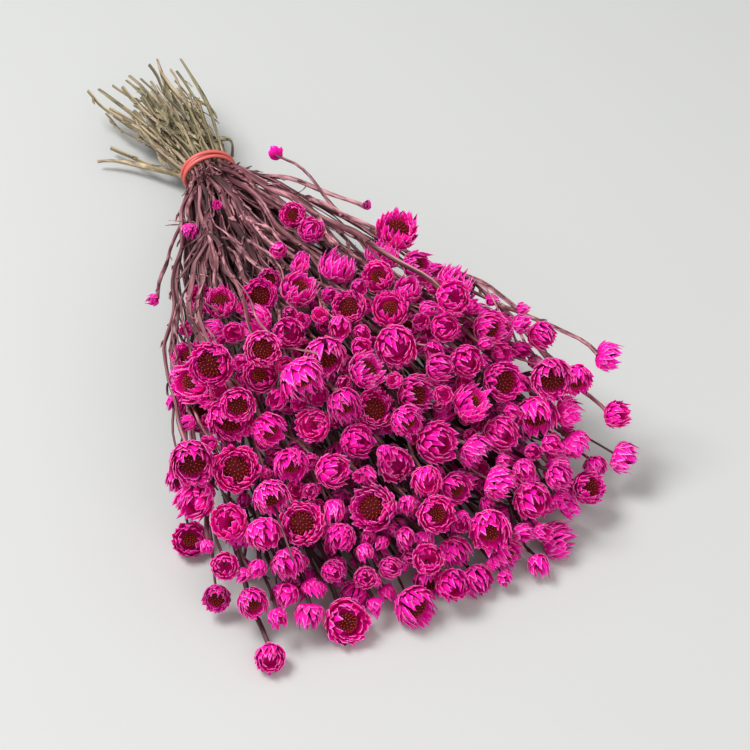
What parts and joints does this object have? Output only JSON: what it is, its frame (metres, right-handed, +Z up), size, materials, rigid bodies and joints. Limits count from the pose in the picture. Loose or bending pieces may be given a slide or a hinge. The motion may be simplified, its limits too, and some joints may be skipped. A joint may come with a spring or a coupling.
{
  "type": "dried winged everlasting bunch",
  "caption": "Tied bunch of dried winged everlasting with dyed pink papery heads, lying on its side for display.",
  "frame": {"origin": "under the middle of the bunch's box, on the surface that it lies on", "axes": "+Z up from the surface, +Y along the bunch from the heads towards the cut ends, +X across it"},
  "size_m": [0.1894, 0.389, 0.0901],
  "materials": {
    "dyed_bract": "dry papery bracts, dyed hot pink, matt with a faint silky sheen",
    "flower_disc": "dull dark red-brown florets with golden-olive tips",
    "dyed_stem": "dry fibrous stem, dyed mauve, matt, straw-coloured below the tie",
    "band": "matt coral-red rubber"
  },
  "bodies": {
    "root": {"spray_01": "dyed_bract", "spray_02": "dyed_bract", "spray_03": "dyed_bract", "spray_04": "dyed_bract", "spray_05": "dyed_bract", "spray_06": "dyed_bract", "spray_07": "dyed_bract", "spray_08": "dyed_bract", "spray_09": "dyed_bract", "spray_10": "dyed_bract", "spray_11": "dyed_bract", "spray_12": "dyed_bract", "spray_13": "dyed_bract", "spray_14": "dyed_bract", "spray_15": "dyed_bract", "spray_16": "dyed_bract", "spray_17": "dyed_bract", "spray_18": "dyed_bract", "spray_19": "dyed_bract", "spray_20": "dyed_bract", "spray_21": "dyed_bract", "spray_22": "dyed_bract", "spray_23": "dyed_bract", "spray_24": "dyed_bract", "spray_25": "dyed_bract", "spray_26": "dyed_bract", "spray_27": "dyed_bract", "spray_28": "dyed_bract", "spray_29": "dyed_bract", "spray_30": "dyed_bract", "spray_31": "dyed_bract", "spray_32": "dyed_bract", "spray_33": "dyed_bract", "spray_34": "dyed_bract", "spray_35": "dyed_bract", "spray_36": "dyed_bract", "spray_37": "dyed_bract", "spray_38": "dyed_bract", "spray_39": "dyed_bract", "spray_40": "dyed_bract", "spray_41": "dyed_bract", "spray_42": "dyed_bract", "spray_43": "dyed_bract", "spray_44": "dyed_bract", "spray_45": "dyed_bract", "spray_46": "dyed_bract", "spray_47": "dyed_bract", "spray_48": "dyed_bract", "spray_49": "dyed_bract", "spray_50": "dyed_bract", "spray_51": "dyed_bract", "spray_52": "dyed_bract", "band": "band"}
  },
  "joints": []
}
